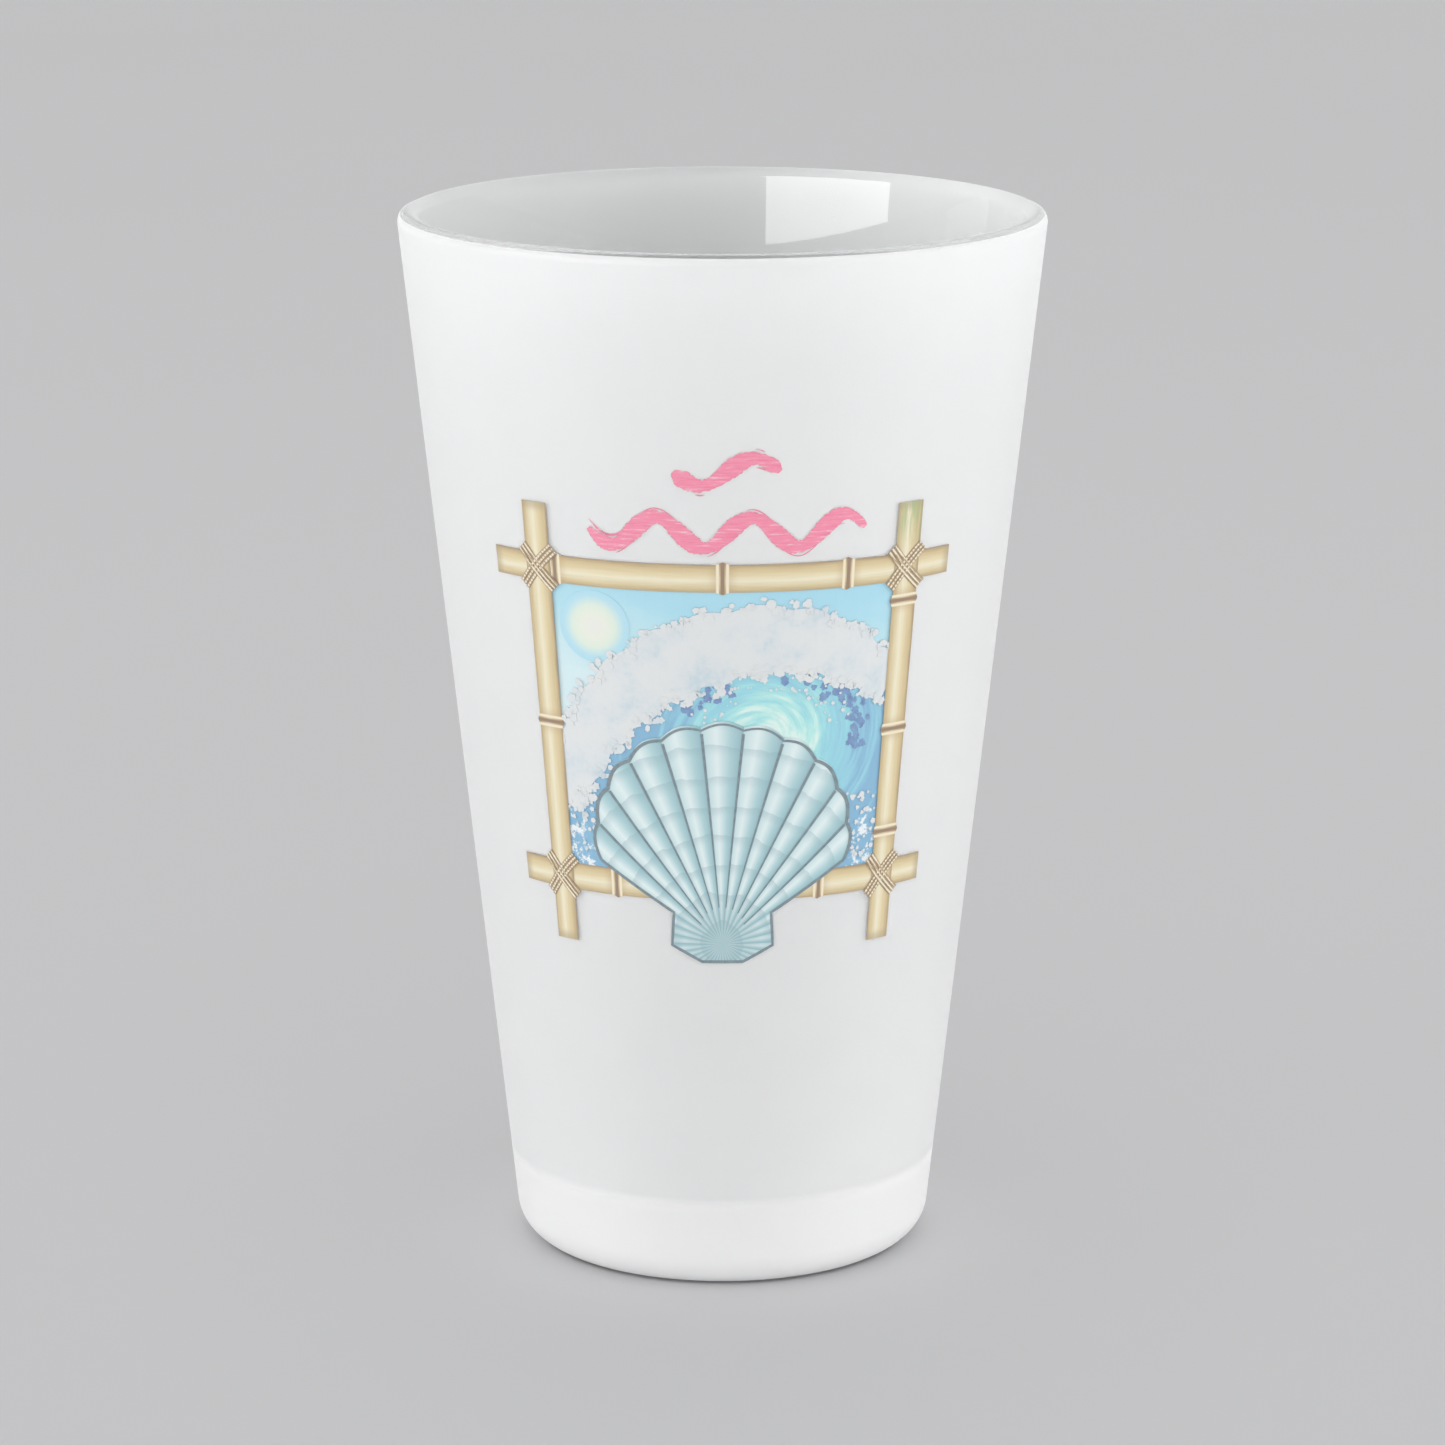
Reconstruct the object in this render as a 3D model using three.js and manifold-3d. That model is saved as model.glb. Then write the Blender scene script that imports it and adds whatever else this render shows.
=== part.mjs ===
// A 16 oz pint glass: one pressed glass, a frosted coating on its outer wall, and a beach picture
// printed on the coating as thin ink films. Millimetres, +Z up, foot on z = 0, picture towards -Y.
import * as THREE from "three";
import { mergeVertices } from "three/addons/utils/BufferGeometryUtils.js";
import Module from "manifold-3d";

const wasm = await Module();
wasm.setup();

// Driving dimensions of the glass.
const HEIGHT = 146;
const MOUTH_RADIUS = 44.45; // outer cone, at the rim's height
const FOOT_RADIUS = 28.45; // outer cone, carried down to z = 0
const WALL = 3; // at the lip
const WALL_LOW = 4; // where the wall meets the floor
const BASE = 12.6;
const HEEL_RADIUS = 5.3; // outer rounding between wall and foot
const CORNER_RADIUS = 7; // inner rounding between wall and floor
const RING_INNER_RADIUS = 19; // inner edge of the bearing ring
const PUNT = 1.8; // hollow under the foot
const FACETS = 96;

// Coating and ink. Every layer keeps a hair's clearance to the one below it.
const COAT_GAP = 0.04;
const COAT = 0.12;
const COAT_LIP_ANGLE = THREE.MathUtils.degToRad(40); // how far it wraps over the lip
const COAT_HEEL_ANGLE = THREE.MathUtils.degToRad(65); // how far it wraps under the heel
const INK = 0.05;
const INK_GAP = 0.02;
const INK_ZONE = [45, 124]; // lowest and highest ink
const INK_LAYERS = { panel: 0, wave: 1, foam: 2, rail: 2, post: 3, shell: 3, lashing: 4 };

// The picture, laid out in u (arc length at its middle height, from its centre line) and z.
const PICTURE_LOW = 61.2; // upper edge of the bottom rail
const PICTURE_HIGH = 100.7; // lower edge of the top rail
const POST_U = 24.8; // centre lines of the two posts
const POST_SPAN = [50, 111.5];
const TUCK = 1; // how far the picture reaches under the rails
const POLE_WIDTH = 3.8;
const JOINT_SWELL = 0.35;
const JOINT_REACH = 0.9;
const RAIL_HALF_LENGTH = 32.2;
const PICTURE_EDGE = 24.3; // where the water's film ends, out of sight under the posts

const taper = Math.atan((MOUTH_RADIUS - FOOT_RADIUS) / HEIGHT);
const pictureRadius = coneRadius((PICTURE_LOW + PICTURE_HIGH) / 2);

function coneRadius(z) {
  return FOOT_RADIUS + ((MOUTH_RADIUS - FOOT_RADIUS) * z) / HEIGHT;
}

// Points [r, z] on an arc of the turned profile.
function arc([r, z], radius, fromAngle, toAngle, steps) {
  const angles = Array.from({ length: steps + 1 }, (_, i) => fromAngle + ((toAngle - fromAngle) * i) / steps);
  return angles.map((angle) => [r + radius * Math.cos(angle), z + radius * Math.sin(angle)]);
}

// The point at height z that lies a given depth inside the outer cone.
function insideWall(depth, z) {
  return [coneRadius(z) - depth / Math.cos(taper), z];
}

function turn(profile) {
  const points = profile.map(([r, z]) => new THREE.Vector2(r, z));
  return new THREE.LatheGeometry(points, FACETS).rotateX(Math.PI / 2);
}

function glassProfile() {
  const puntRadius = (RING_INNER_RADIUS ** 2 + PUNT ** 2) / (2 * PUNT);
  const puntEdge = Math.acos(RING_INNER_RADIUS / puntRadius);
  const heel = insideWall(HEEL_RADIUS, HEEL_RADIUS);
  const lip = insideWall(WALL / 2, HEIGHT - WALL / 2);
  const corner = insideWall(WALL_LOW + CORNER_RADIUS, BASE + CORNER_RADIUS);
  const innerTaper = taper + Math.atan((WALL_LOW - WALL) / (HEIGHT - BASE));
  return [
    ...arc([0, PUNT - puntRadius], puntRadius, Math.PI / 2, puntEdge, 3),
    ...arc(heel, HEEL_RADIUS, -Math.PI / 2, -taper, 6),
    ...arc(lip, WALL / 2, -taper, Math.PI - innerTaper, 8),
    ...arc(corner, CORNER_RADIUS, -innerTaper, -Math.PI / 2, 6),
    [0, BASE],
  ];
}

// One side of the coating: the glass's outer surface moved out by `offset`.
function coatSide(offset) {
  const heel = insideWall(HEEL_RADIUS, HEEL_RADIUS);
  const lip = insideWall(WALL / 2, HEIGHT - WALL / 2);
  return [
    ...arc(heel, HEEL_RADIUS + offset, -COAT_HEEL_ANGLE, -taper, 5),
    ...arc(lip, WALL / 2 + offset, -taper, COAT_LIP_ANGLE, 3),
  ];
}

function coatProfile() {
  const outside = coatSide(COAT_GAP + COAT);
  return [...outside, ...coatSide(COAT_GAP).reverse(), outside[0]];
}

function toManifold(geometry) {
  geometry.deleteAttribute("normal");
  geometry.deleteAttribute("uv");
  const merged = mergeVertices(geometry);
  const vertProperties = merged.attributes.position.array;
  const triVerts = Uint32Array.from(merged.index.array);
  return new wasm.Manifold(new wasm.Mesh({ numProp: 3, vertProperties, triVerts }));
}

function toGeometry(manifold) {
  const mesh = manifold.getMesh();
  const geometry = new THREE.BufferGeometry();
  geometry.setAttribute("position", new THREE.BufferAttribute(mesh.vertProperties, 3));
  geometry.setIndex(new THREE.BufferAttribute(mesh.triVerts, 1));
  geometry.computeVertexNormals();
  return geometry;
}

// A full ring of ink at one layer, tall enough for the whole picture.
function inkRing(layer) {
  const inner = (COAT_GAP + COAT + INK_GAP + layer * (INK + INK_GAP)) / Math.cos(taper);
  const outer = inner + INK / Math.cos(taper);
  const [low, high] = INK_ZONE.map(coneRadius);
  const [bottom, top] = INK_ZONE;
  const corners = [[low + outer, bottom], [high + outer, top], [high + inner, top], [low + inner, bottom]];
  return toManifold(turn([...corners, corners[0]]));
}

// Seen from the front, where the picture point (u, z) lies.
function onWall([u, z]) {
  return new THREE.Vector2(coneRadius(z) * Math.sin(u / pictureRadius), z);
}

// The film that a stencil with this outline leaves on the front of the wall.
function film(layer, outline) {
  const stencil = new THREE.Shape(outline.map(onWall));
  const prism = new THREE.ExtrudeGeometry(stencil, { depth: 2 * MOUTH_RADIUS, bevelEnabled: false });
  return toGeometry(inkRing(layer).intersect(toManifold(prism.rotateX(Math.PI / 2))));
}

function smoothCurve(points) {
  return new THREE.SplineCurve(points.map(([u, z]) => new THREE.Vector2(u, z)));
}

// Outline of a stripe along a smooth spine, `halfWidth(t)` wide on each side.
function stripe(spine, halfWidth, steps) {
  const curve = smoothCurve(spine);
  const side = (sign) => Array.from({ length: steps + 1 }, (_, i) => {
    const point = curve.getPointAt(i / steps);
    const along = curve.getTangentAt(i / steps);
    const reach = sign * halfWidth(i / steps);
    return [point.x - along.y * reach, point.y + along.x * reach];
  });
  return [...side(1), ...side(-1).reverse()];
}

// Outline of a bamboo pole in [along, across], a little swollen at each joint.
function bamboo([start, end], joints) {
  const nearJoints = joints.flatMap((s) => [s - JOINT_REACH, s, s + JOINT_REACH]);
  const edge = (sign) => [start, ...nearJoints, end].map((s) => {
    const swell = joints.includes(s) ? JOINT_SWELL : 0;
    return [s, sign * (POLE_WIDTH / 2 + swell)];
  });
  return [...edge(1), ...edge(-1).reverse()];
}

function post(u, joints) {
  return bamboo(POST_SPAN, joints).map(([along, across]) => [u + across, along]);
}

function rail(z, joints) {
  return bamboo([-RAIL_HALF_LENGTH, RAIL_HALF_LENGTH], joints).map(([along, across]) => [along, z + across]);
}

// Two crossed turns of the cord that ties a rail to a post: an X of four arms, one a quarter turn
// from the next.
function lashing(u, z) {
  const reach = 3.3;
  const half = 0.45;
  const arm = [[half, half], [reach, half], [reach, -half]];
  const centre = new THREE.Vector2(u, z);
  return [0, 1, 2, 3].flatMap((quarter) => {
    const angle = Math.PI / 4 - (quarter * Math.PI) / 2;
    return arm.map(([along, across]) => {
      const corner = new THREE.Vector2(u + along, z + across).rotateAround(centre, angle);
      return [corner.x, corner.y];
    });
  });
}

function disc([u, z], radius) {
  const sides = 28;
  return Array.from({ length: sides }, (_, i) => {
    const angle = (i / sides) * 2 * Math.PI;
    return [u + radius * Math.cos(angle), z + radius * Math.sin(angle)];
  });
}

// The sky behind everything, out to the middle of the posts.
function panel() {
  const low = PICTURE_LOW - TUCK;
  const high = PICTURE_HIGH + TUCK;
  return [[-POST_U, low], [POST_U, low], [POST_U, high], [-POST_U, high]];
}

// The water: everything under the breaking crest.
function wave() {
  const crest = smoothCurve([
    [-PICTURE_EDGE, 72], [-17, 83], [-8, 91], [3, 94.6], [13, 93.6], [PICTURE_EDGE, 87],
  ]);
  const edge = crest.getPoints(16).map((point) => [point.x, point.y]);
  const low = PICTURE_LOW - TUCK;
  return [[PICTURE_EDGE, low], [-PICTURE_EDGE, low], ...edge];
}

// Foam that breaks along the crest, with a lumpy edge.
function foam() {
  const spine = [[-23.6, 70], [-17, 82], [-8, 90], [3, 93.8], [13, 93], [23.6, 87]];
  const endHalfWidth = 3;
  const bulge = 1.9; // added half way along
  const lumpDepth = 0.35;
  const lumps = 19;
  const steps = 54;
  const halfWidth = (t) =>
    endHalfWidth + bulge * Math.sin(Math.PI * t) + lumpDepth * Math.sin(lumps * Math.PI * t);
  return stripe(spine, halfWidth, steps);
}

// A scallop shell standing on its hinge: a ribbed fan over two small ears.
function shell() {
  const hinge = 51.2;
  const fanRadius = 31;
  const fanAngle = THREE.MathUtils.degToRad(58);
  const ribs = 11;
  const ribDepth = 0.7;
  const roundness = 0.6; // 0 is a circular arc, 1 a full circle through the hinge
  const steps = 66;
  const fan = Array.from({ length: steps + 1 }, (_, i) => {
    const angle = fanAngle * ((2 * i) / steps - 1);
    const rib = ribDepth * Math.abs(Math.sin((ribs * Math.PI * i) / steps));
    const radius = fanRadius * Math.cos(angle) ** roundness + rib;
    return [radius * Math.sin(angle), hinge + radius * Math.cos(angle)];
  });
  const ear = [[7, hinge + 4.4], [7.6, hinge - 0.4], [3, hinge - 2.8]];
  const mirrored = ear.map(([u, z]) => [-u, z]).reverse();
  return [...fan, ...ear, ...mirrored];
}

// A brushed wavy line, thick where the brush rises and thin where it turns and at both ends.
function brushWave([left, right], z, height, waves) {
  const meanHalfWidth = 1;
  const pressure = 0.2; // how much the half width changes along a wave
  const tip = 0.25; // share of the width at the very ends
  const opening = 12; // how fast an end widens
  const samples = 8 * waves;
  const spine = Array.from({ length: samples + 1 }, (_, i) => {
    const t = i / samples;
    return [left + (right - left) * t, z - height * Math.sin(2 * Math.PI * waves * t)];
  });
  const press = (t) => meanHalfWidth + pressure * Math.sin(4 * Math.PI * waves * t + 0.8);
  const lift = (t) => Math.min(1, tip + opening * t, tip + opening * (1 - t));
  return stripe(spine, (t) => press(t) * lift(t), 16 * waves);
}

const part = new THREE.Group();
part.name = "pint_glass";

function add(name, geometry, color, finish) {
  const mesh = new THREE.Mesh(geometry, new THREE.MeshStandardMaterial({ color, metalness: 0, ...finish }));
  mesh.name = name;
  part.add(mesh);
}

const CLEAR = { roughness: 0.05, transparent: true, opacity: 0.35 };
const FROST = { roughness: 0.6, transparent: true, opacity: 0.85 };
const PRINTED = { roughness: 0.5 };
const BAMBOO = 0xdcc88f;
const PINK = 0xe27a9a;
const railHeights = { bottom: PICTURE_LOW - POLE_WIDTH / 2, top: PICTURE_HIGH + POLE_WIDTH / 2 };

add("glass_body", turn(glassProfile()), 0xf2f6f6, CLEAR);
add("frost_coat", turn(coatProfile()), 0xf4f5f5, FROST);

add("print_sea_panel", film(INK_LAYERS.panel, panel()), 0xa0d7eb, PRINTED);
add("print_sun", film(INK_LAYERS.wave, disc([-17, 95.2], 5)), 0xf5f5e1, PRINTED);
add("print_wave", film(INK_LAYERS.wave, wave()), 0x6e87be, PRINTED);
add("print_foam", film(INK_LAYERS.foam, foam()), 0xf0f4f6, PRINTED);

add("print_rail_bottom", film(INK_LAYERS.rail, rail(railHeights.bottom, [-15.5, 14])), BAMBOO, PRINTED);
add("print_rail_top", film(INK_LAYERS.rail, rail(railHeights.top, [-22, 0, 16])), BAMBOO, PRINTED);
add("print_post_left", film(INK_LAYERS.post, post(-POST_U, [81])), BAMBOO, PRINTED);
add("print_post_right", film(INK_LAYERS.post, post(POST_U, [65.5, 80, 98])), BAMBOO, PRINTED);

for (const [row, z] of Object.entries(railHeights)) {
  add(`print_lashing_${row}_left`, film(INK_LAYERS.lashing, lashing(-POST_U, z)), 0xece0c4, PRINTED);
  add(`print_lashing_${row}_right`, film(INK_LAYERS.lashing, lashing(POST_U, z)), 0xece0c4, PRINTED);
}

add("print_shell", film(INK_LAYERS.shell, shell()), 0xa8cdd2, PRINTED);
add("print_brush_short", film(INK_LAYERS.panel, brushWave([-6, 7], 117.1, 2, 1)), PINK, PRINTED);
add("print_brush_long", film(INK_LAYERS.panel, brushWave([-17, 18.2], 108.8, 2.2, 3)), PINK, PRINTED);

export default part;
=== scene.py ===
"""Looks for the frosted pint glass: smooth turned glass and coating, and printed inks with their patterns."""
import math
import random

import bmesh
import bpy
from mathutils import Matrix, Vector


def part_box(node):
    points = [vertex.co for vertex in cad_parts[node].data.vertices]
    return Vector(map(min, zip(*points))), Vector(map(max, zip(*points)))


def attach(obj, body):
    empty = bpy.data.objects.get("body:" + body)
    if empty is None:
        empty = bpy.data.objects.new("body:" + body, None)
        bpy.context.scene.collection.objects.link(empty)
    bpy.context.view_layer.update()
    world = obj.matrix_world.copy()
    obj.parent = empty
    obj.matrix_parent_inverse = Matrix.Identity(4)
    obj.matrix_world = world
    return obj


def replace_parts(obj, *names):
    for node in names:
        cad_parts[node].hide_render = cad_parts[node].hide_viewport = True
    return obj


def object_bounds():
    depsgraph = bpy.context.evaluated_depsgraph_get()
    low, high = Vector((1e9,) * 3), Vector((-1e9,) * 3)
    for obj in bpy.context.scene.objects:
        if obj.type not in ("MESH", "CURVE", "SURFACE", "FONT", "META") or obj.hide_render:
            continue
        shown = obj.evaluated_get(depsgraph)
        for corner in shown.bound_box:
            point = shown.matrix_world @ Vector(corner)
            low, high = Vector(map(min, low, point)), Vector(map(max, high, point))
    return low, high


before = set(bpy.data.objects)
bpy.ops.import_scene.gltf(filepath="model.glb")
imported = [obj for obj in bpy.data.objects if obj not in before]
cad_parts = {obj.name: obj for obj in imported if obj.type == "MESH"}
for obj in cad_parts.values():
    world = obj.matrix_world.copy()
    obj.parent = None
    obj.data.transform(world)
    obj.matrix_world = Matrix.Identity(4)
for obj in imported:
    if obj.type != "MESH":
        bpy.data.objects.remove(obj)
cad_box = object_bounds()
scene = bpy.context.scene

MM = 0.001

# The camera: straight in front of the glass, a little above it and tilted down.
CAMERA_DISTANCE = 729.6 * MM
CAMERA_HEIGHT = 248.5 * MM
CAMERA_PITCH = math.radians(13.48)
CAMERA_SENSOR = 36.0
CAMERA_LENS = 133.6

# Roundings and wall of the glass, which the frame's boxes don't give.
WALL = 3 * MM
WALL_LOW = 4 * MM
BASE = 12.6 * MM
HEEL_RADIUS = 5.3 * MM
CORNER_RADIUS = 7 * MM
RING_INNER_RADIUS = 19 * MM
PUNT = 1.8 * MM
COAT_GAP = 0.04 * MM
COAT = 0.12 * MM
COAT_BITE = 0.03 * MM  # the shown coating is bonded to the glass: its inner side lies just inside the wall
COAT_HEEL_ANGLE = math.radians(65)
COAT_LIP_ANGLE = math.radians(40)
SEGMENTS = 256
WALL_STEP = 4 * MM  # the straight wall is cut this often
RING_STEP = 0.01 * MM  # heights this close belong to one ring
ON_AXIS = 1e-9  # a smaller radius is a point on the axis
CREASE = math.radians(40)  # a sharper edge is shaded crisp

# The picture, in its own millimetres: u round the wall from the centre line, and z.
POLE_WIDTH = 3.8
BOTTOM_JOINTS = (-15.5, 14)
TOP_JOINTS = (-22, 0, 16)
LEFT_JOINTS = (81,)
RIGHT_JOINTS = (65.5, 80, 98)
WAVE_EYE = (6.5, 79.0)
SHELL_HINGE = 51.2
SHELL_SIZE = 31.0
SHELL_ANGLE = math.radians(58)
SHELL_RIBS = 11
SHELL_SCALLOP = 0.7  # how far the end of each rib stands out
LINE_HALF_WIDTH = 0.2  # of the shell's outline
CREST_RADIUS = 12.0  # where the dark water lies, round the wave's eye
SPRAY_RADIUS = 9.6  # where the crest throws off its drops, round the wave's eye
CORD_HALF_WIDTH = 0.14
CORD_SHADE_HALF_WIDTH = 0.27
CORD_REACH = (2.4, 2.7)  # how far a turn of cord runs from the crossing, along u and z
CORD_PITCH = 0.42  # from one turn to the next
CORD_BOW = 0.35  # how far a turn bows out of the straight
BRUSH_HALF_WIDTH = 1.0
BRUSH_PRESSURE = 0.2
BRISTLE_LENGTH = 0.09  # share of the stroke that a loose bristle marks
INK_VALUE = 0.78  # thin ink is duller than its colour on white paper
INK_VEIL = 0.15  # share of the frosting's grey that shows through it
FILM = 0.03  # thickness of the shown line work
FILM_GAP = 0.01  # clearance of a film to the ink under it
CORD_LIFT = 2 * FILM  # the cords lie above their shadow
FILM_STEP = 1.6  # a film is cut this often round the wall, so that it bends with it
SNAP = 0.01  # a cut this near a corner goes through the corner

# The stage
FLOOR_SIZE = 8
WORLD_STRENGTH = 0.88
BACKDROP_STRENGTH = 0.5


# Camera


def make_camera():
    data = bpy.data.cameras.new("camera")
    data.sensor_width = CAMERA_SENSOR
    data.lens = CAMERA_LENS
    camera = bpy.data.objects.new("camera", data)
    camera.location = (0, -CAMERA_DISTANCE, CAMERA_HEIGHT)
    camera.rotation_euler = (math.pi / 2 - CAMERA_PITCH, 0, 0)
    scene.collection.objects.link(camera)
    scene.camera = camera


# The straight wall of the glass

HEIGHT = cad_box[1].z


def measure_cone():
    """Its radius at z = 0 and how fast it widens, from the two rings that end the coating's straight wall."""
    under_lip = HEIGHT - 0.6 * WALL
    under_heel_end = 0.85 * HEEL_RADIUS
    rings = {}
    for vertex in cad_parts["frost_coat"].data.vertices:
        x, y, z = vertex.co
        step = round(z / RING_STEP)
        rings[step] = max(rings.get(step, 0), math.hypot(x, y))
    steps = sorted(rings)
    top = next(step for step in steps if step * RING_STEP > under_lip)
    low = next(step for step in steps if step * RING_STEP > under_heel_end)
    slope = (rings[top] - rings[low]) / ((top - low) * RING_STEP)
    taper = math.atan(slope)
    foot = rings[top] - slope * top * RING_STEP - (COAT_GAP + COAT) / math.cos(taper)
    return foot, slope


FOOT_RADIUS, SLOPE = measure_cone()
TAPER = math.atan(SLOPE)


def cone_radius(z):
    """Radius of the glass's outer wall at height z."""
    return FOOT_RADIUS + SLOPE * z


def picture_middle():
    """Height of the middle of the picture, between its two rails."""
    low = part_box("print_rail_bottom")[1].z
    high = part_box("print_rail_top")[0].z
    return (low + high) / 2


PICTURE_RADIUS = cone_radius(picture_middle())  # u is measured round the wall at this radius


# Turned meshes


def arc(centre, radius, start, end, steps):
    """Points on a circle round centre, from the start angle to the end angle."""
    angles = [start + (end - start) * i / steps for i in range(steps + 1)]
    return [(centre[0] + radius * math.cos(a), centre[1] + radius * math.sin(a)) for a in angles]


def inside_wall(depth, z):
    """The point at height z that lies a given depth inside the outer wall."""
    return cone_radius(z) - depth / math.cos(TAPER), z


def with_steps(line, step):
    """The same line, with its straight stretches cut into even steps."""
    points = [line[0]]
    for (x0, y0), (x1, y1) in zip(line, line[1:]):
        count = max(1, math.ceil(math.hypot(x1 - x0, y1 - y0) / step))
        points += [(x0 + (x1 - x0) * i / count, y0 + (y1 - y0) * i / count) for i in range(1, count + 1)]
    return points


def glass_profile():
    """From the axis under the foot, round the heel, over the lip and down to the axis on the floor."""
    punt_radius = (RING_INNER_RADIUS**2 + PUNT**2) / (2 * PUNT)
    punt_edge = math.acos(RING_INNER_RADIUS / punt_radius)
    inner_taper = TAPER + math.atan((WALL_LOW - WALL) / (HEIGHT - BASE))
    heel = inside_wall(HEEL_RADIUS, HEEL_RADIUS)
    lip = inside_wall(WALL / 2, HEIGHT - WALL / 2)
    corner = inside_wall(WALL_LOW + CORNER_RADIUS, BASE + CORNER_RADIUS)
    return (
        arc((0, PUNT - punt_radius), punt_radius, math.pi / 2, punt_edge, 16)
        + arc(heel, HEEL_RADIUS, -math.pi / 2, -TAPER, 16)
        + arc(lip, WALL / 2, -TAPER, math.pi - inner_taper, 32)
        + arc(corner, CORNER_RADIUS, -inner_taper, -math.pi / 2, 20)
        + [(0, BASE)]
    )


def coat_side(offset):
    """A side of the coating, offset out from the glass: round the heel, up the wall and over the lip."""
    heel = inside_wall(HEEL_RADIUS, HEEL_RADIUS)
    lip = inside_wall(WALL / 2, HEIGHT - WALL / 2)
    under = arc(heel, HEEL_RADIUS + offset, -COAT_HEEL_ANGLE, -TAPER, 14)
    return under + arc(lip, WALL / 2 + offset, -TAPER, COAT_LIP_ANGLE, 8)


def coat_profile():
    """A loop up the outside of the coating and down its inside."""
    outside = with_steps(coat_side(COAT_GAP + COAT), WALL_STEP)
    inside = with_steps(coat_side(-COAT_BITE), WALL_STEP)
    return outside + inside[::-1] + outside[:1]


def turned(name, profile):
    """A closed mesh turned round Z from (radius, height) points that end on the axis or make a loop."""
    loop = profile[0] == profile[-1]
    vertices, faces, rings = [], [], []
    for radius, z in profile[:-1] if loop else profile:
        if radius < ON_AXIS:
            rings.append([len(vertices)])
            vertices.append((0, 0, z))
            continue
        start = len(vertices)
        rings.append(list(range(start, start + SEGMENTS)))
        for i in range(SEGMENTS):
            angle = 2 * math.pi * i / SEGMENTS
            vertices.append((radius * math.cos(angle), radius * math.sin(angle), z))
    if loop:
        rings.append(rings[0])
    for low, high in zip(rings, rings[1:]):
        for i in range(SEGMENTS):
            j = (i + 1) % SEGMENTS
            corners = [low[i % len(low)], low[j % len(low)], high[j % len(high)], high[i % len(high)]]
            faces.append(tuple(dict.fromkeys(corners)))
    mesh = bpy.data.meshes.new(name)
    mesh.from_pydata(vertices, [], faces)
    mesh.validate()
    mesh.shade_smooth()
    mesh.set_sharp_from_angle(angle=CREASE)
    piece = bpy.data.objects.new(name, mesh)
    scene.collection.objects.link(piece)
    return piece


# Node graphs


class Graph:
    """Short names for the shader nodes that the materials use."""

    def __init__(self, name):
        self.material = bpy.data.materials.new(name)
        self.material.use_nodes = True
        self.tree = self.material.node_tree
        self.shader = self.tree.nodes["Principled BSDF"]

    def add(self, kind, inputs=(), **settings):
        node = self.tree.nodes.new(kind)
        for key, value in settings.items():
            setattr(node, key, value)
        for key, value in dict(inputs).items():
            self.feed(node.inputs[key], value)
        return node

    def feed(self, socket, value):
        if isinstance(value, bpy.types.NodeSocket):
            self.tree.links.new(value, socket)
        else:
            socket.default_value = value

    def math(self, operation, a, b=0.0, c=0.0):
        node = self.add("ShaderNodeMath", {0: a, 1: b, 2: c}, operation=operation)
        return node.outputs[0]

    def vector(self, x, y, z=0.0):
        return self.add("ShaderNodeCombineXYZ", {0: x, 1: y, 2: z}).outputs[0]

    def noise(self, vector, scale, detail=3.0, roughness=0.5):
        values = {"Vector": vector, "Scale": scale, "Detail": detail, "Roughness": roughness}
        return self.add("ShaderNodeTexNoise", values).outputs["Fac"]

    def between(self, value, low, high, smooth=True):
        """0 where value is at low, 1 where it is at high."""
        style = "SMOOTHSTEP" if smooth else "LINEAR"
        node = self.add("ShaderNodeMapRange", {"Value": value, "From Min": low, "From Max": high},
                        interpolation_type=style)
        return node.outputs["Result"]

    def ramp(self, value, stops):
        node = self.add("ShaderNodeValToRGB", {"Fac": value})
        elements = node.color_ramp.elements
        while len(elements) < len(stops):
            elements.new(0.5)
        for element, (position, color) in zip(elements, stops):
            element.position = position
            element.color = (*color, 1)
        return node.outputs["Color"]

    def blend(self, factor, a, b):
        node = self.add("ShaderNodeMix", data_type="RGBA")
        self.feed(node.inputs[0], factor)
        for socket, value in ((node.inputs[6], a), (node.inputs[7], b)):
            self.feed(socket, (*value, 1) if isinstance(value, tuple) else value)
        return node.outputs[2]

    def place(self):
        """Object coordinates."""
        return self.add("ShaderNodeTexCoord").outputs["Object"]

    def picture(self):
        """The picture's own coordinates in millimetres: u round the wall from its centre line, and z."""
        axes = self.add("ShaderNodeSeparateXYZ", {0: self.place()}).outputs
        angle = self.math("ARCTAN2", axes[0], self.math("MULTIPLY", axes[1], -1.0))
        u = self.math("MULTIPLY", angle, PICTURE_RADIUS / MM)
        return u, self.math("MULTIPLY", axes[2], 1 / MM)

    def color(self, value):
        self.feed(self.shader.inputs["Base Color"], value)

    def roughness(self, value):
        self.feed(self.shader.inputs["Roughness"], value)

    def bump(self, height, distance, strength=1.0):
        values = {"Height": height, "Distance": distance, "Strength": strength}
        self.feed(self.shader.inputs["Normal"], self.add("ShaderNodeBump", values).outputs["Normal"])

    def set(self, **values):
        for key, value in values.items():
            self.shader.inputs[key.replace("_", " ")].default_value = value


def srgb(red, green, blue):
    """Linear colour from 0 to 255 screen values."""
    def linear(value):
        value /= 255
        return value / 12.92 if value <= 0.04045 else ((value + 0.055) / 1.055) ** 2.4

    return linear(red), linear(green), linear(blue)


# Glass and coating


def clear_glass():
    """Pressed glass: faint ripples, and a surface that is not quite evenly polished."""
    g = Graph("clear_glass")
    ripples = g.noise(g.place(), 45.0, 1.0)
    polish = g.noise(g.place(), 160.0)
    g.color((0.97, 0.985, 0.98, 1))
    g.roughness(g.math("MULTIPLY", polish, 0.05))
    g.set(Transmission_Weight=1.0, IOR=1.5)
    g.bump(ripples, 0.015 * MM)
    return g.material


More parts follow.
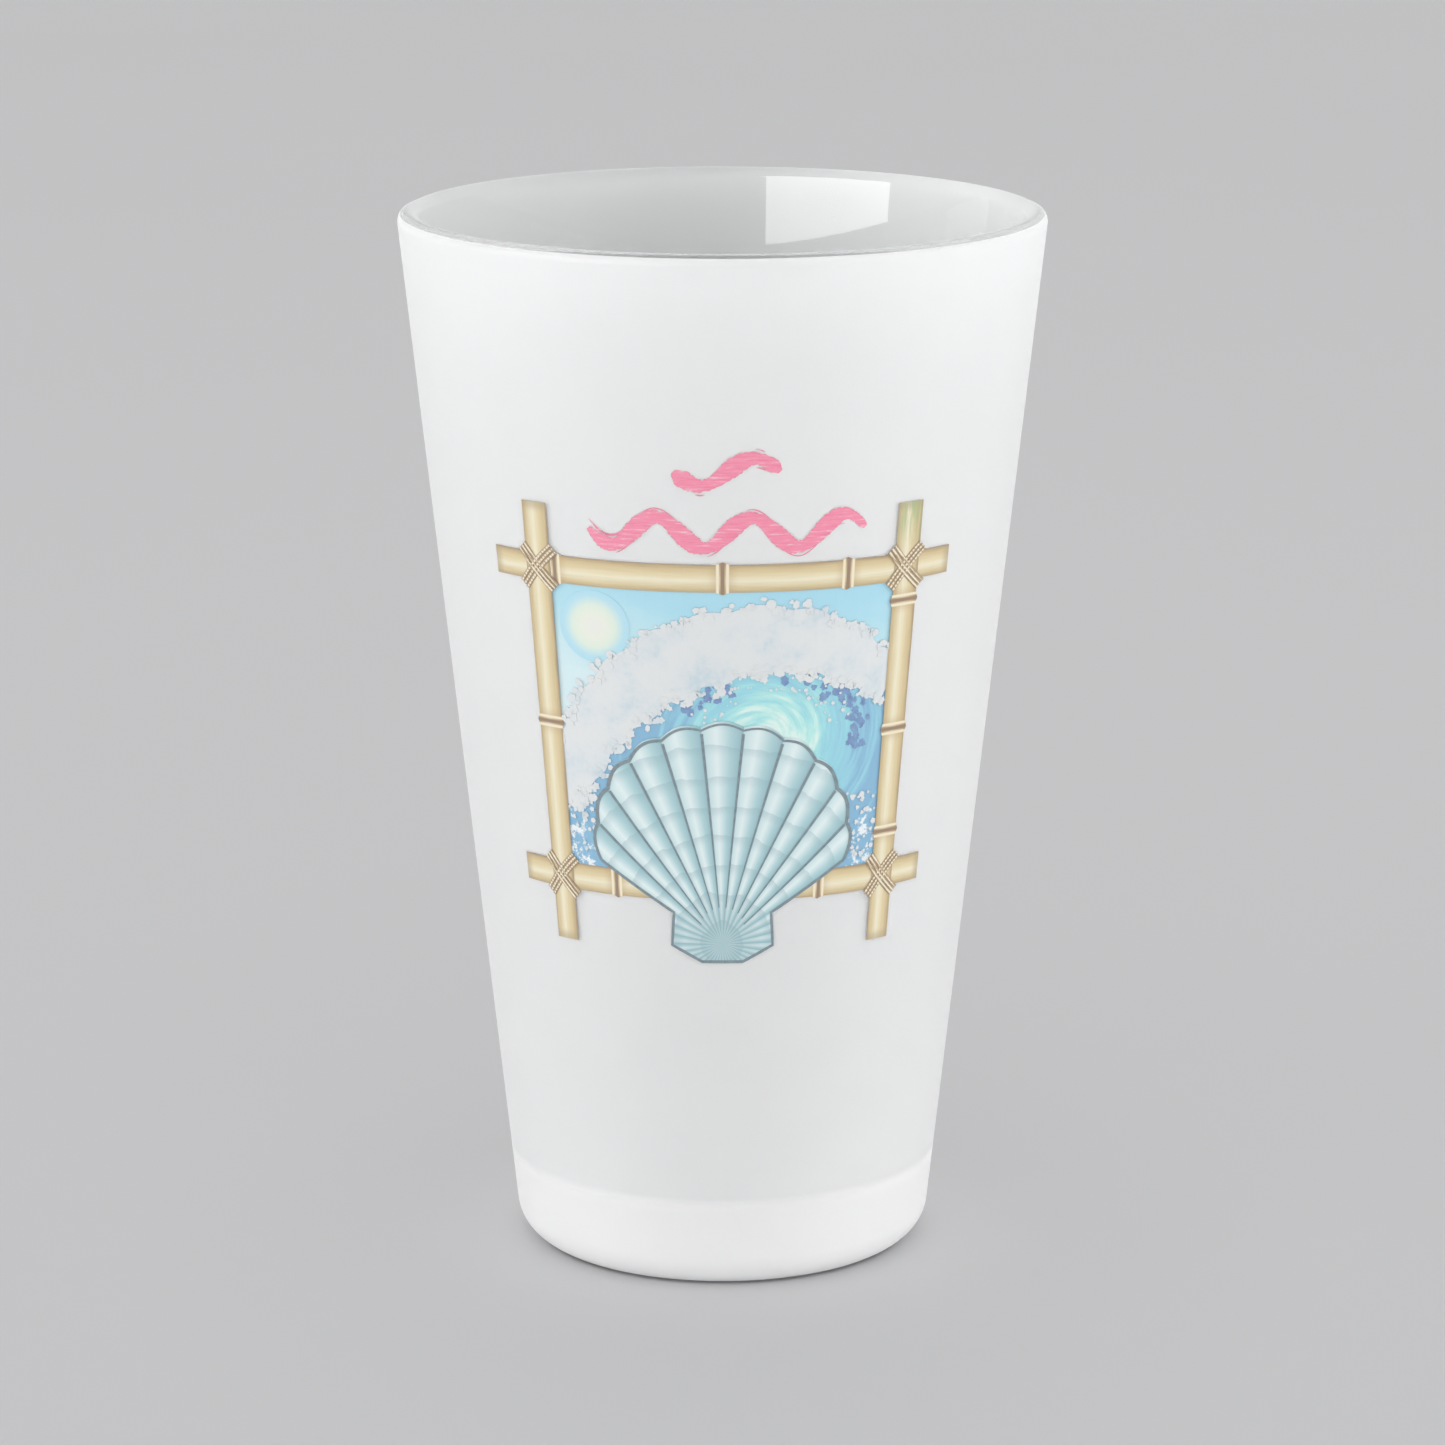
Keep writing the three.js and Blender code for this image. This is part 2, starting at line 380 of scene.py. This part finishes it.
def frost():
    """Sprayed satin frosting: it scatters light through to the other side."""
    g = Graph("frost")
    place = g.place()
    cloud = g.noise(place, 30.0, 4.0)
    grain = g.noise(place, 2500.0, 2.0)
    height = g.add("ShaderNodeSeparateXYZ", {0: place}).outputs[2]
    wall = g.blend(cloud, srgb(216, 217, 218), srgb(225, 226, 226))
    # Painted light: the coating is painted near white in a band at the height of the solid base, standing in
    # for the light that the thick glass base lets through the frosting; the band has a soft edge at the
    # height of the glass's floor.
    band = g.between(height, BASE + 1.2 * MM, BASE - 0.8 * MM)
    g.color(g.blend(band, wall, srgb(254, 254, 254)))
    g.roughness(g.math("MULTIPLY_ADD", grain, 0.2, 0.38))
    g.set(Subsurface_Weight=1.0, Subsurface_Radius=(1, 1, 1), Subsurface_Scale=0.9 * MM, IOR=1.45)
    g.bump(grain, 0.02 * MM, 0.5)
    return g.material


# Inks


def printed(g, color):
    """Finishes an ink: its colour with fine print grain, a satin surface and a slight tooth."""
    u, z = g.picture()
    grain = g.noise(g.vector(u, z), 9.0, 2.0)
    muted = g.add("ShaderNodeHueSaturation", {"Color": color, "Value": INK_VALUE}).outputs["Color"]
    veil = g.math("MULTIPLY", grain, 2 * INK_VEIL)  # the grain's mean is a half
    g.color(g.blend(veil, muted, srgb(203, 204, 204)))
    g.roughness(g.math("MULTIPLY_ADD", grain, 0.2, 0.35))
    g.set(IOR=1.45)
    g.bump(grain, 0.01 * MM, 0.4)
    return g.material


def polar(g, u, z, centre):
    """Distance from a point of the picture, and the angle round it."""
    du = g.math("SUBTRACT", u, centre[0])
    dz = g.math("SUBTRACT", z, centre[1])
    squares = g.math("ADD", g.math("MULTIPLY", du, du), g.math("MULTIPLY", dz, dz))
    return g.math("SQRT", squares), g.math("ARCTAN2", du, dz)


def sea_ink():
    """Sky: deeper blue high up and to the right, with faint cloud."""
    g = Graph("ink_sea")
    u, z = g.picture()
    cloud = g.noise(g.vector(g.math("MULTIPLY", u, 0.07), g.math("MULTIPLY", z, 0.16)), 1.0, 5.0)
    slant = g.math("ADD", z, g.math("MULTIPLY", u, 0.12))
    height = g.between(g.math("ADD", slant, g.math("MULTIPLY", cloud, 14.0)), 88.0, 110.0)
    stops = [(0, srgb(216, 238, 242)), (0.5, srgb(188, 230, 240)), (1, srgb(160, 218, 238))]
    return printed(g, g.ramp(height, stops))


def sun_ink():
    """A hazy disc that fades through yellow-green into the sky."""
    g = Graph("ink_sun")
    u, z = g.picture()
    distance, _ = polar(g, u, z, node_centre("print_sun"))
    stops = [
        (0, srgb(234, 235, 230)),
        (0.35, srgb(234, 238, 224)),
        (0.6, srgb(222, 238, 222)),
        (0.85, srgb(178, 224, 240)),
        (1, srgb(170, 221, 239)),
    ]
    return printed(g, g.ramp(g.between(distance, 0.0, node_half_width("print_sun"), False), stops))


def wave_ink():
    """The wave's hollow: streaks curl round its eye, pale inside and bluer outwards, with broken spray."""
    g = Graph("ink_wave")
    u, z = g.picture()
    distance, angle = polar(g, u, z, WAVE_EYE)
    curl = g.math("ADD", g.math("MULTIPLY", distance, 0.55), g.math("MULTIPLY", angle, 0.9))
    streak = g.noise(g.vector(curl, g.math("MULTIPLY", angle, 0.6)), 1.6, 5.0, 0.6)
    depth = g.between(distance, 3.0, 17.0, False)
    tone = g.math("MULTIPLY_ADD", g.math("SUBTRACT", streak, 0.5), 1.5, depth)
    stops = [
        (0, srgb(220, 245, 238)),
        (0.2, srgb(172, 234, 230)),
        (0.45, srgb(140, 214, 228)),
        (0.68, srgb(134, 202, 224)),
        (0.9, srgb(116, 176, 212)),
    ]
    water = g.ramp(tone, stops)
    spray = g.noise(g.vector(u, z), 0.75, 6.0, 0.65)
    corners = g.math("MULTIPLY", g.between(g.math("ABSOLUTE", u), 11.0, 20.0), g.between(z, 80.0, 66.0))
    splash = g.between(g.math("MULTIPLY", spray, corners), 0.5, 0.58)
    return printed(g, g.blend(splash, water, srgb(238, 245, 247)))


def foam_ink():
    """Broken foam: white, with pale blue hollows between the lumps."""
    g = Graph("ink_foam")
    u, z = g.picture()
    lumps = g.noise(g.vector(u, z), 0.22, 6.0, 0.6)
    fine = g.noise(g.vector(u, z), 1.4, 3.0)
    tone = g.math("MULTIPLY_ADD", fine, 0.25, lumps)
    stops = [(0.42, srgb(196, 214, 223)), (0.54, srgb(215, 223, 227)), (0.68, srgb(224, 227, 228))]
    return printed(g, g.ramp(tone, stops))


def bamboo_ink(name, along, across, ends, joints, tint=None):
    """A rounded, grained culm with joints and darker cut ends.

    It runs along the picture axis `along`. `across` is the other axis and the culm's centre on it. A tint is
    where a patch of another colour starts and is full, and that colour.
    """
    g = Graph(name)
    axes = dict(zip("uz", g.picture()))
    run = axes[along]
    side = g.math("SUBTRACT", axes[across[0]], across[1])
    grain = g.noise(g.vector(g.math("MULTIPLY", run, 0.16), g.math("MULTIPLY", side, 2.6)), 1.0, 4.0, 0.6)
    roundness = g.math("MULTIPLY_ADD", g.math("SUBTRACT", grain, 0.5), 0.9, side)
    half = POLE_WIDTH / 2
    stops = [
        (0, srgb(180, 154, 108)),
        (0.16, srgb(214, 194, 142)),
        (0.42, srgb(240, 231, 200)),
        (0.6, srgb(228, 211, 164)),
        (0.86, srgb(206, 182, 128)),
        (1, srgb(162, 134, 92)),
    ]
    culm = g.ramp(g.between(roundness, -half, half, False), stops)
    # A joint is a shaded band with a dark groove in its middle and a pale ridge on each side of the groove.
    for joint in joints:
        distance = g.math("ABSOLUTE", g.math("SUBTRACT", run, joint))
        culm = g.blend(g.math("MULTIPLY", g.between(distance, 2.2, 0.4), 0.45), culm, srgb(182, 146, 94))
        culm = g.blend(g.between(distance, 0.34, 0.16), culm, srgb(140, 108, 76))
        ridge = g.math("ABSOLUTE", g.math("SUBTRACT", distance, 0.62))
        culm = g.blend(g.between(ridge, 0.26, 0.1), culm, srgb(244, 232, 200))
    for end in ends:
        cut = g.between(g.math("ABSOLUTE", g.math("SUBTRACT", run, end)), 1.6, 0.2)
        culm = g.blend(g.math("MULTIPLY", cut, 0.6), culm, srgb(168, 146, 104))
    if tint:
        start, end, color = tint
        patch = g.math("MULTIPLY", g.between(run, start, end), g.between(grain, 0.4, 0.6))
        culm = g.blend(g.math("MULTIPLY", patch, 0.7), culm, color)
    return printed(g, culm)


def cord_ink():
    """Straw cord: slanting twist marks."""
    g = Graph("ink_cord")
    u, z = g.picture()
    twist = g.math("SINE", g.math("MULTIPLY", g.math("ADD", u, z), 9.0))
    wear = g.noise(g.vector(u, z), 2.0)
    tone = g.math("MULTIPLY_ADD", twist, 0.3, wear)
    stops = [(0.2, srgb(176, 146, 104)), (0.5, srgb(232, 216, 180)), (0.9, srgb(246, 238, 216))]
    return printed(g, g.ramp(tone, stops))


def shade_ink():
    """The brown shadow that the cords throw on the poles."""
    g = Graph("ink_cord_shade")
    u, z = g.picture()
    tone = g.noise(g.vector(u, z), 1.5)
    return printed(g, g.ramp(tone, [(0.3, srgb(150, 120, 82)), (0.75, srgb(184, 156, 112))]))


def shell_ink():
    """The shell: each rib is lit on its left, growth bands cross all the ribs, and the root is darker."""
    g = Graph("ink_shell")
    u, z = g.picture()
    distance, angle = polar(g, u, z, (0.0, SHELL_HINGE))
    rib = g.math("FRACT", g.math("MULTIPLY_ADD", angle, SHELL_RIBS / (2 * SHELL_ANGLE), SHELL_RIBS / 2))
    wobble = g.noise(g.vector(u, z), 0.3, 3.0)
    band = g.math("FRACT", g.math("MULTIPLY_ADD", wobble, 0.5, g.math("MULTIPLY", distance, 0.24)))
    stops = [
        (0, srgb(188, 220, 224)),
        (0.35, srgb(226, 241, 242)),
        (0.7, srgb(166, 207, 213)),
        (1, srgb(134, 180, 190)),
    ]
    side = g.ramp(rib, stops)
    shade = g.math("MULTIPLY", g.between(band, 0.55, 1.0), 0.35)
    banded = g.blend(shade, side, srgb(126, 168, 180))
    root = g.between(distance, 9.0, 2.0)
    return printed(g, g.blend(g.math("MULTIPLY", root, 0.5), banded, srgb(120, 164, 174)))


def deep_ink():
    """The darkest water, under the breaking crest."""
    g = Graph("ink_deep")
    u, z = g.picture()
    tone = g.noise(g.vector(u, z), 0.9, 4.0)
    return printed(g, g.ramp(tone, [(0.35, srgb(84, 122, 178)), (0.7, srgb(114, 156, 202))]))


def outline_ink():
    """The dark teal line work of the shell."""
    g = Graph("ink_shell_line")
    u, z = g.picture()
    weight = g.noise(g.vector(u, z), 1.2, 3.0)
    return printed(g, g.ramp(weight, [(0.3, srgb(84, 108, 118)), (0.75, srgb(116, 140, 148))]))


def pink_ink():
    """Dry brush: bristle streaks along the stroke let the frosting show through."""
    g = Graph("ink_pink")
    u, z = g.picture()
    streak = g.noise(g.vector(g.math("MULTIPLY", u, 0.35), g.math("MULTIPLY", z, 3.2)), 1.0, 4.0, 0.65)
    gaps = g.between(streak, 0.57, 0.66)
    body = g.ramp(streak, [(0.3, srgb(240, 104, 144)), (0.6, srgb(248, 136, 168))])
    return printed(g, g.blend(g.math("MULTIPLY", gaps, 0.55), body, srgb(243, 226, 232)))


# Films of ink, laid out in the picture's u and z in millimetres and wrapped on the wall


def node_points(node):
    """The (u, z) of a printed node's corners, in millimetres."""
    points = [vertex.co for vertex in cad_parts[node].data.vertices]
    return [(round(math.atan2(p.x, -p.y) * PICTURE_RADIUS / MM, 2), round(p.z / MM, 2)) for p in points]


def node_corners(node):
    """Lowest and highest (u, z) of a printed node."""
    us, zs = zip(*node_points(node))
    return (min(us), min(zs)), (max(us), max(zs))


def node_centre(node):
    (u0, z0), (u1, z1) = node_corners(node)
    return (u0 + u1) / 2, (z0 + z1) / 2


def node_half_width(node):
    (u0, _), (u1, _) = node_corners(node)
    return (u1 - u0) / 2


def flat_islands(outlines):
    """Closed islands, FILM thick, from outlines of (u, z) points. They are cut across every FILM_STEP."""
    islands = bmesh.new()
    for outline in outlines:
        face = islands.faces.new([islands.verts.new((u, z, 0)) for u, z in outline])
        face.normal_update()
        if face.normal.z > 0:
            face.normal_flip()
        grown = bmesh.ops.extrude_face_region(islands, geom=[face], use_keep_orig=True)
        for element in grown["geom"]:
            if isinstance(element, bmesh.types.BMVert):
                element.co.z = FILM
    us = [vertex.co.x for vertex in islands.verts]
    cut = math.floor(min(us) / FILM_STEP) * FILM_STEP
    while cut < max(us):
        everything = islands.verts[:] + islands.edges[:] + islands.faces[:]
        bmesh.ops.bisect_plane(islands, geom=everything, plane_co=(cut, 0, 0), plane_no=(1, 0, 0), dist=SNAP)
        cut += FILM_STEP
    bmesh.ops.triangulate(islands, faces=islands.faces[:])
    bmesh.ops.dissolve_degenerate(islands, edges=islands.edges[:], dist=SNAP / 10)
    bmesh.ops.recalc_face_normals(islands, faces=islands.faces[:])
    return islands


def film(name, outlines, node, material, lift=0.0):
    """One piece made of thin islands of ink, wrapped on the wall on top of `node`, or `lift` above it."""
    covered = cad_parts[node].data.vertices
    proud = max(math.hypot(v.co.x, v.co.y) - cone_radius(v.co.z) for v in covered) + FILM_GAP * MM + lift
    islands = flat_islands(outlines)
    for vertex in islands.verts:
        u, z, depth = vertex.co
        radius = cone_radius(z * MM) + proud + depth * MM
        angle = u * MM / PICTURE_RADIUS
        vertex.co = (radius * math.sin(angle), -radius * math.cos(angle), z * MM)
    mesh = bpy.data.meshes.new(name)
    islands.to_mesh(mesh)
    islands.free()
    mesh.shade_smooth()
    mesh.set_sharp_from_angle(angle=CREASE)
    mesh.materials.append(material)
    piece = bpy.data.objects.new(name, mesh)
    scene.collection.objects.link(piece)
    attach(piece, "root")
    return piece


def dress(node, material):
    """Gives a CAD film its ink."""
    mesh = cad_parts[node].data
    mesh.materials.clear()
    mesh.materials.append(material)
    mesh.shade_smooth()
    mesh.set_sharp_from_angle(angle=CREASE)


def stripe(spine, half_width):
    """Outline of a line of ink along points (u, z), half_width(t) wide on each side as t goes from 0 to 1."""
    sides = ([], [])
    last = len(spine) - 1
    for i, (u, z) in enumerate(spine):
        (u0, z0), (u1, z1) = spine[max(i - 1, 0)], spine[min(i + 1, last)]
        length = math.hypot(u1 - u0, z1 - z0)
        reach = half_width(i / last)
        across = (-(z1 - z0) / length * reach, (u1 - u0) / length * reach)
        sides[0].append((u + across[0], z + across[1]))
        sides[1].append((u - across[0], z - across[1]))
    return sides[0] + sides[1][::-1]


def blob(centre, size, lumps, seed):
    """A small uneven spot of ink, no further than size from its centre."""
    count = 4 + 2 * lumps
    points = []
    for i in range(count):
        angle = 2 * math.pi * i / count
        radius = size * (0.72 + 0.28 * math.sin(lumps * angle + seed) * math.cos(2 * angle + 2 * seed))
        points.append((centre[0] + radius * math.cos(angle), centre[1] + radius * math.sin(angle)))
    return points


def shell_radius(angle):
    """From the hinge to the shell's edge, at an angle from straight up."""
    step = (angle / SHELL_ANGLE + 1) / 2
    scallop = SHELL_SCALLOP * abs(math.sin(SHELL_RIBS * math.pi * step))
    return SHELL_SIZE * math.cos(angle) ** 0.6 + scallop


def on_shell(angle, reach):
    """The point at a share `reach` of the way from the hinge to the edge."""
    radius = shell_radius(angle) * reach
    return radius * math.sin(angle), SHELL_HINGE + radius * math.cos(angle)


def shell_lines():
    """The shell's edge, its two ears at the hinge and the grooves between its ribs."""
    edge_steps = 12 * SHELL_RIBS
    groove_steps = 24
    edge = [on_shell(SHELL_ANGLE * (2 * i / edge_steps - 1), 0.985) for i in range(edge_steps + 1)]
    ear = [
        (7.0, SHELL_HINGE + 4.4),
        (7.35, SHELL_HINGE - 0.3),
        (3.0, SHELL_HINGE - 2.55),
        (0, SHELL_HINGE - 2.55),
    ]
    right = [edge[-1]] + ear
    left = [(-u, z) for u, z in right]
    outlines = [stripe(edge, lambda t: LINE_HALF_WIDTH + 0.06 * math.sin(9 * t))]
    outlines += [stripe(with_steps(line, 1.0), lambda t: LINE_HALF_WIDTH) for line in (right, left)]
    for rib in range(1, SHELL_RIBS):
        angle = SHELL_ANGLE * (2 * rib / SHELL_RIBS - 1)
        groove = [on_shell(angle, 0.17 + 0.8 * i / groove_steps) for i in range(groove_steps + 1)]
        outlines.append(stripe(groove, lambda t: 0.07 + 0.13 * t))
    return outlines


def lashing_lines(u, z, half_width):
    """Thin turns of cord: three crossed pairs over the joint of two poles."""
    steps = 10
    outlines = []
    for turn in (-1, 0, 1):
        for slope in (-1, 1):
            spine = []
            for i in range(steps + 1):
                t = 2 * i / steps - 1
                rise = CORD_REACH[1] * t + CORD_BOW * (1 - t * t) - turn * CORD_PITCH
                spine.append((u + CORD_REACH[0] * t + turn * CORD_PITCH, z + slope * rise))
            outlines.append(stripe(spine, lambda t: half_width))
    return outlines


def round_eye(degrees, reach):
    """The point at an angle from straight up, and at a distance, from the wave's eye."""
    angle = math.radians(degrees)
    return WAVE_EYE[0] + reach * math.sin(angle), WAVE_EYE[1] + reach * math.cos(angle)


def crest_spots():
    """Dark broken water under the foam: spots along an arc round the wave's eye."""
    random.seed(7)
    spots = 150
    start = -66
    sweep = 160
    outlines = []
    for i in range(spots):
        centre = round_eye(start + sweep * i / spots, CREST_RADIUS + random.gauss(0, 1.1))
        outlines.append(blob(centre, random.uniform(0.25, 0.85), random.choice((3, 4, 5)), i))
    return outlines


def foam_puffs():
    """Small puffs along the foam's edge, so that it ends in tufts. They stay inside the frame of poles."""
    random.seed(5)
    margin = 1.5
    (left, _), (right, _) = node_corners("print_foam")
    low = node_corners("print_rail_bottom")[1][1]
    outlines = []
    for i, (u, z) in enumerate(sorted(set(node_points("print_foam")))):
        spot = (u + random.gauss(0, 0.5), z + random.gauss(0, 0.5))
        size = random.uniform(0.25, 0.95)
        if left + margin < spot[0] < right - margin and spot[1] > low + margin:
            outlines.append(blob(spot, size, random.choice((3, 4, 5)), i))
    return outlines


def spray_drops():
    """White drops thrown off the crest and, in both lower corners, off the foot of the wave."""
    random.seed(11)
    crest_drops = 60
    foot_drops = 70
    start = -68
    sweep = 140
    outlines = []
    for i in range(crest_drops):
        degrees = start + sweep * i / (crest_drops - 1)
        centre = round_eye(degrees, SPRAY_RADIUS + random.uniform(-1.8, 2.2))
        outlines.append(blob(centre, random.uniform(0.12, 0.42), 3, i))
    for i in range(foot_drops):
        side = -1 if i % 2 else 1
        centre = (side * random.uniform(17.5, 22.4), random.uniform(62.5, 72))
        outlines.append(blob(centre, random.uniform(0.15, 0.6), random.choice((3, 5)), i))
    return outlines


def brush_lines(node, waves):
    """A brushed wavy line along the CAD stroke: ragged edges, and loose bristle marks just outside them."""
    random.seed(waves)
    (left, low), (right, high) = node_corners(node)
    middle = (low + high) / 2
    height = (high - low) / 2 - BRUSH_HALF_WIDTH
    steps_per_wave = 70
    bristles_per_wave = 5
    inset = 0.3
    left += inset
    right -= inset

    def spine(offset, start, end, steps):
        points = []
        for i in range(steps + 1):
            t = start + (end - start) * i / steps
            z = middle - height * math.sin(2 * math.pi * waves * t) + offset
            points.append((left + (right - left) * t, z))
        return points

    def press(t):
        swell = BRUSH_HALF_WIDTH + BRUSH_PRESSURE * math.sin(4 * math.pi * waves * t + 0.8)
        tip = min(1, 0.3 + 10 * t, 0.3 + 10 * (1 - t))
        ragged = random.uniform(-0.09, 0.09)
        return max(0.1, swell * tip + ragged)

    outlines = [stripe(spine(0, 0.0, 1.0, steps_per_wave * waves), press)]
    for _ in range(bristles_per_wave * waves):
        start = random.uniform(0, 0.9)
        offset = random.choice((-1, 1)) * BRUSH_HALF_WIDTH * random.uniform(1.15, 1.35)
        width = random.uniform(0.05, 0.1)
        bristle = spine(offset, start, start + BRISTLE_LENGTH, 10)
        outlines.append(stripe(bristle, lambda t, w=width: w * math.sin(math.pi * t) + 0.02))
    return outlines


# Stage


def make_world():
    """White light from all round, in front of a backdrop of about the floor's own tone."""
    world = bpy.data.worlds.new("world")
    world.use_nodes = True
    tree = world.node_tree
    light = tree.nodes["Background"]
    light.inputs["Color"].default_value = (1, 1, 1, 1)
    light.inputs["Strength"].default_value = WORLD_STRENGTH
    backdrop = tree.nodes.new("ShaderNodeBackground")
    backdrop.inputs["Color"].default_value = (1, 1, 1, 1)
    backdrop.inputs["Strength"].default_value = BACKDROP_STRENGTH
    ray = tree.nodes.new("ShaderNodeLightPath")
    mix = tree.nodes.new("ShaderNodeMixShader")
    tree.links.new(ray.outputs["Is Camera Ray"], mix.inputs[0])
    tree.links.new(light.outputs[0], mix.inputs[1])
    tree.links.new(backdrop.outputs[0], mix.inputs[2])
    tree.links.new(mix.outputs[0], tree.nodes["World Output"].inputs["Surface"])
    scene.world = world


def floor_paint():
    """Matt pale grey, very slightly uneven."""
    g = Graph("floor")
    tone = g.noise(g.place(), 3.0, 2.0)
    g.color(g.blend(tone, (0.55, 0.55, 0.56), (0.57, 0.57, 0.58)))
    g.roughness(0.7)
    return g.material


def make_stage():
    bpy.ops.mesh.primitive_plane_add(size=FLOOR_SIZE)
    floor = bpy.context.object
    floor.name = "floor"
    floor.data.materials.append(floor_paint())
    make_world()
    scene.view_settings.view_transform = "Standard"
    # Light goes back and forth many times between the walls of a frosted glass.
    scene.cycles.max_bounces = 24
    scene.cycles.diffuse_bounces = 12
    scene.cycles.glossy_bounces = 8
    scene.cycles.transmission_bounces = 24
    return floor


def all_but(piece):
    """A set of lit objects that leaves one out."""
    lit = bpy.data.collections.new("all_but_" + piece.name)
    lit.objects.link(piece)
    lit.collection_objects[0].light_linking.link_state = "EXCLUDE"
    return lit


def softbox(name, location, target, size, power, lit=None, mirrored=False):
    """A rectangular light, hidden from gloss. A mirrored one shows in gloss and lights no matt surface."""
    data = bpy.data.lights.new(name, "AREA")
    data.shape = "RECTANGLE"
    data.size, data.size_y = size
    data.energy = power
    light = bpy.data.objects.new(name, data)
    light.location = location
    light.visible_glossy = mirrored
    light.visible_diffuse = not mirrored
    light.light_linking.receiver_collection = lit
    light.rotation_euler = (Vector(target) - Vector(location)).to_track_quat("-Z", "Y").to_euler()
    scene.collection.objects.link(light)


# The scene

make_camera()
off_floor = all_but(make_stage())
middle = (0, 0, HEIGHT / 2)
softbox("left", (-0.95, 0.12, 0.2), middle, (0.4, 0.5), 4.6, off_floor)
softbox("right", (0.95, 0.12, 0.2), middle, (0.4, 0.5), 4.8, off_floor)
softbox("window", (-0.75, -0.78, 0.4), middle, (1.1, 0.45), 7.5, off_floor, mirrored=True)
softbox("top", (0, 0.1, 1.3), middle, (0.6, 0.6), 1.4)
softbox("fill", (0.0, -1.0, 0.12), (0, 0, BASE), (1.0, 0.2), 6.0, off_floor)

glass = turned("pressed_glass", glass_profile())
glass.data.materials.append(clear_glass())
coat = turned("frosted_coating", coat_profile())
coat.data.materials.append(frost())
for piece, node, slot in ((glass, "glass_body", "clear_glass"), (coat, "frost_coat", "frost")):
    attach(piece, "root")
    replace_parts(piece, node)

dress("print_sea_panel", sea_ink())
dress("print_sun", sun_ink())
dress("print_wave", wave_ink())
dress("print_foam", foam_ink())
dress("print_shell", shell_ink())
for row, joints in (("bottom", BOTTOM_JOINTS), ("top", TOP_JOINTS)):
    node = f"print_rail_{row}"
    ends = [corner[0] for corner in node_corners(node)]
    dress(node, bamboo_ink(f"ink_rail_{row}", "u", ("z", node_centre(node)[1]), ends, joints))
green_top = (104, 110, srgb(150, 176, 110))
for side, joints, tint in (("left", LEFT_JOINTS, None), ("right", RIGHT_JOINTS, green_top)):
    node = f"print_post_{side}"
    ends = [corner[1] for corner in node_corners(node)]
    dress(node, bamboo_ink(f"ink_post_{side}", "z", ("u", node_centre(node)[0]), ends, joints, tint))

pink = pink_ink()
for length, waves in (("short", 1), ("long", 3)):
    node = f"print_brush_{length}"
    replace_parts(film(f"brush_{length}", brush_lines(node, waves), "frost_coat", pink), node)

cord = cord_ink()
shade = shade_ink()
for row in ("bottom", "top"):
    for side in ("left", "right"):
        node = f"print_lashing_{row}_{side}"
        u, z = node_centre(node)
        under = lashing_lines(u, z, CORD_SHADE_HALF_WIDTH)
        over = lashing_lines(u, z, CORD_HALF_WIDTH)
        film(f"lashing_shade_{row}_{side}", under, "print_post_left", shade)
        cords = film(f"lashing_{row}_{side}", over, "print_post_left", cord, CORD_LIFT * MM)
        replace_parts(cords, node)

film("shell_line_work", shell_lines(), "print_shell", outline_ink())
film("crest_spots", crest_spots(), "print_wave", deep_ink())
film("foam_puffs", foam_puffs(), "print_foam", foam_ink())
film("spray_drops", spray_drops(), "print_foam", foam_ink())
